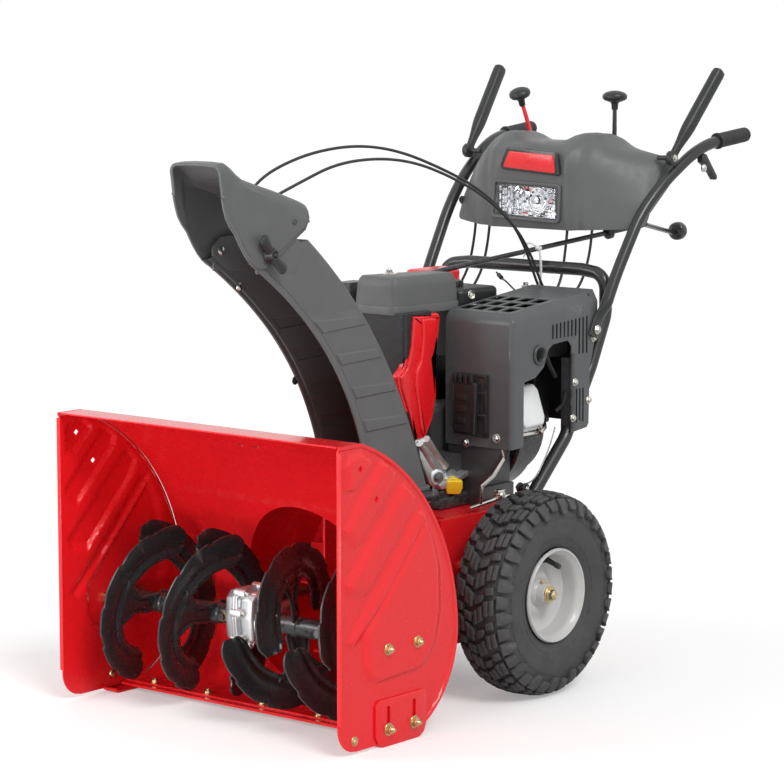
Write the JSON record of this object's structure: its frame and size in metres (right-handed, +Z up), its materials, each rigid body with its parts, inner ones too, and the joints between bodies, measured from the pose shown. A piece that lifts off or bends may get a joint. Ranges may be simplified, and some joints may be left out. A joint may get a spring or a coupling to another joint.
{
  "type": "snow blower",
  "caption": "Walk-behind two-stage snow blower: open-fronted auger housing with impeller, turning chute with tilting deflector, engine on a wheeled drive frame, handles with a control console.",
  "frame": {"origin": "on the ground under the middle of the overall length, on the mid-plane of the housing", "axes": "+Z up, the auger mouth faces -Y, +X is to the right for someone facing the mouth"},
  "size_m": [0.708, 1.4982, 1.147],
  "materials": {
    "red_paint": "gloss enamel",
    "black_paint": "semi-gloss enamel",
    "grey_paint": "satin enamel",
    "silver_paint": "satin enamel",
    "cover_plastic": "moulded",
    "red_plastic": "moulded",
    "black_plastic": "moulded",
    "grip_rubber": "matt",
    "belt_rubber": "matt",
    "tyre": "matt",
    "steel": "zinc plated",
    "dark_steel": "bare",
    "aluminium": "die cast",
    "white_cover": "satin",
    "yellow_plastic": "moulded",
    "lamp_chrome": "reflector",
    "lamp_lens": "clear",
    "bronze": "bearing bronze"
  },
  "bodies": {
    "chassis": {"auger_housing": "red_paint", "impeller_drum": "red_paint", "side_plate_right": "red_paint", "side_plate_left": "red_paint", "scraper_bar": "red_paint", "housing_fasteners": "steel", "auger_bearings": "bronze", "auger_gearbox": "aluminium", "chute_drive_post": "grey_paint", "frame": "red_paint", "engine_block": "aluminium", "rocker_cover": "white_cover", "drive_belts": "belt_rubber", "intake_cover": "cover_plastic", "belt_cover": "black_plastic", "engine_cowl": "red_plastic", "fuel_tank": "black_plastic", "recoil_housing": "grey_paint", "muffler_shield": "grey_paint", "muffler": "dark_steel", "lower_handle": "black_paint", "upper_handles": "black_paint", "grips": "grip_rubber", "console": "cover_plastic", "headlamp": "lamp_chrome", "headlamp_lens": "lamp_lens", "cables": "black_plastic"},
    "skid_right": {"skid_shoe_right": "red_paint"},
    "skid_left": {"skid_shoe_left": "red_paint"},
    "auger": {"auger_shaft": "dark_steel", "auger_right": "black_paint", "auger_left": "black_paint"},
    "impeller": {"impeller_shaft": "dark_steel", "impeller": "red_paint"},
    "chute": {"chute_ring": "black_plastic", "chute": "cover_plastic"},
    "deflector": {"deflector": "cover_plastic"},
    "knob_left": {"deflector_knob_left": "black_plastic"},
    "knob_right": {"deflector_knob_right": "black_plastic"},
    "idler": {"chute_idler": "black_plastic"},
    "pinion": {"chute_pinion": "dark_steel"},
    "crank": {"crank_rod": "black_paint"},
    "axle": {"axle": "dark_steel"},
    "hex_shaft": {"hex_shaft": "dark_steel"},
    "friction_wheel": {"friction_wheel": "dark_steel"},
    "drive_disc": {"drive_disc": "dark_steel"},
    "wheel_right": {"rim_right": "silver_paint", "tyre_right": "tyre"},
    "wheel_left": {"rim_left": "silver_paint", "tyre_left": "tyre"},
    "crankshaft": {"crankshaft": "dark_steel"},
    "dipstick": {"dipstick": "yellow_plastic"},
    "fuel_cap": {"fuel_cap": "black_plastic"},
    "recoil_handle": {"recoil_handle": "black_plastic"},
    "drive_lever": {"drive_lever": "black_plastic"},
    "auger_lever": {"auger_lever": "black_plastic"},
    "trigger_right": {"trigger_right": "black_plastic"},
    "trigger_left": {"trigger_left": "black_plastic"},
    "speed_lever": {"speed_lever": "black_plastic"},
    "pitch_lever": {"pitch_lever": "black_plastic"}
  },
  "joints": [
    {"name": "skid_right_height", "type": "slide", "parent": "chassis", "child": "skid_right", "axis": [0, 0, 1], "range_m": [-0.035, 0]},
    {"name": "skid_left_height", "type": "slide", "parent": "chassis", "child": "skid_left", "axis": [0, 0, 1], "range_m": [-0.035, 0]},
    {"name": "auger_spin", "type": "hinge", "parent": "chassis", "child": "auger", "pos_m": [0, -0.51213, 0.172], "axis": [1, 0, 0], "continuous": true},
    {"name": "impeller_spin", "type": "hinge", "parent": "chassis", "child": "impeller", "pos_m": [0, -0.27513, 0.205], "axis": [0, 1, 0], "continuous": true},
    {"name": "chute_swivel", "type": "hinge", "parent": "chassis", "child": "chute", "pos_m": [0.08, -0.25213, 0.369], "axis": [0, 0, 1], "range_deg": [-90, 90], "deforming": ["cables"]},
    {"name": "deflector_tilt", "type": "hinge", "parent": "chute", "child": "deflector", "pos_m": [0.08, -0.63113, 0.846], "axis": [1, 0, 0], "range_deg": [0, 35]},
    {"name": "knob_left_turn", "type": "hinge", "parent": "deflector", "child": "knob_left", "pos_m": [0.02, -0.63113, 0.846], "axis": [1, 0, 0], "continuous": true},
    {"name": "knob_right_turn", "type": "hinge", "parent": "deflector", "child": "knob_right", "pos_m": [0.14, -0.63113, 0.846], "axis": [1, 0, 0], "continuous": true},
    {"name": "idler_spin", "type": "hinge", "parent": "chassis", "child": "idler", "pos_m": [-0.06768, -0.21615, 0.37], "axis": [0, 0, 1], "range_deg": [-160, 160]},
    {"name": "pinion_spin", "type": "hinge", "parent": "chassis", "child": "pinion", "pos_m": [-0.0988, -0.13813, 0.37], "axis": [0, 0, 1], "range_deg": [-320, 320]},
    {"name": "crank_turn", "type": "hinge", "parent": "chassis", "child": "crank", "pos_m": [0.1, 0.45287, 0.82], "axis": [0.3204, 0.9364, 0.1434], "range_deg": [-930, 930]},
    {"name": "axle_spin", "type": "hinge", "parent": "chassis", "child": "axle", "pos_m": [0, -0.07013, 0.1905], "axis": [1, 0, 0], "continuous": true},
    {"name": "hex_shaft_spin", "type": "hinge", "parent": "chassis", "child": "hex_shaft", "pos_m": [0, -0.04713, 0.26189], "axis": [1, 0, 0], "continuous": true},
    {"name": "speed_shift", "type": "slide", "parent": "hex_shaft", "child": "friction_wheel", "axis": [1, 0, 0], "range_m": [-0.084, 0.006]},
    {"name": "drive_disc_spin", "type": "hinge", "parent": "chassis", "child": "drive_disc", "pos_m": [0, -0.12313, 0.26189], "axis": [0, 1, 0], "continuous": true},
    {"name": "wheel_right_spin", "type": "hinge", "parent": "axle", "child": "wheel_right", "pos_m": [0.2955, -0.07013, 0.1905], "axis": [1, 0, 0], "continuous": true},
    {"name": "wheel_left_spin", "type": "hinge", "parent": "axle", "child": "wheel_left", "pos_m": [-0.2955, -0.07013, 0.1905], "axis": [1, 0, 0], "continuous": true},
    {"name": "crankshaft_spin", "type": "hinge", "parent": "chassis", "child": "crankshaft", "pos_m": [0, 0.01487, 0.442], "axis": [0, 1, 0], "continuous": true},
    {"name": "dipstick_turn", "type": "hinge", "parent": "chassis", "child": "dipstick", "pos_m": [0.112, -0.08513, 0.372], "axis": [0.7785, -0.5449, -0.3114], "range_deg": [-90, 0]},
    {"name": "fuel_cap_turn", "type": "hinge", "parent": "chassis", "child": "fuel_cap", "pos_m": [-0.022, 0.07687, 0.736], "axis": [0, 0, 1], "range_deg": [0, 90]},
    {"name": "starter_pull", "type": "slide", "parent": "chassis", "child": "recoil_handle", "axis": [-1, 0, 0], "range_m": [0, 0.02], "stiffness_N_per_m": 20, "springref_m": -0.05},
    {"name": "drive_lever_press", "type": "hinge", "parent": "chassis", "child": "drive_lever", "pos_m": [0.252, 0.42787, 0.972], "axis": [-1, 0, 0], "range_deg": [0, 16], "stiffness_Nm_per_rad": 2.5, "springref_deg": -17.19},
    {"name": "auger_lever_press", "type": "hinge", "parent": "chassis", "child": "auger_lever", "pos_m": [-0.252, 0.42787, 0.972], "axis": [-1, 0, 0], "range_deg": [0, 16], "stiffness_Nm_per_rad": 2.5, "springref_deg": -17.19},
    {"name": "trigger_right_squeeze", "type": "hinge", "parent": "chassis", "child": "trigger_right", "pos_m": [0.263, 0.52087, 0.968], "axis": [1, 0, 0], "range_deg": [0, 22], "stiffness_Nm_per_rad": 0.4, "springref_deg": -17.19},
    {"name": "trigger_left_squeeze", "type": "hinge", "parent": "chassis", "child": "trigger_left", "pos_m": [-0.263, 0.52087, 0.968], "axis": [1, 0, 0], "range_deg": [0, 22], "stiffness_Nm_per_rad": 0.4, "springref_deg": -17.19},
    {"name": "speed_lever_shift", "type": "hinge", "parent": "chassis", "child": "speed_lever", "pos_m": [-0.095, 0.45687, 0.93], "axis": [1, 0, 0], "range_deg": [-17, 17]},
    {"name": "pitch_lever_shift", "type": "hinge", "parent": "chassis", "child": "pitch_lever", "pos_m": [0.095, 0.45687, 0.93], "axis": [1, 0, 0], "range_deg": [-17, 17]}
  ],
  "couplings": [
    {"joint": "impeller_spin", "follows": "auger_spin", "ratio": -10},
    {"joint": "idler_spin", "follows": "chute_swivel", "ratio": -1.7143},
    {"joint": "pinion_spin", "follows": "chute_swivel", "ratio": 3.4286},
    {"joint": "crank_turn", "follows": "chute_swivel", "ratio": -10.286},
    {"joint": "hex_shaft_spin", "follows": "axle_spin", "ratio": -4}
  ]
}
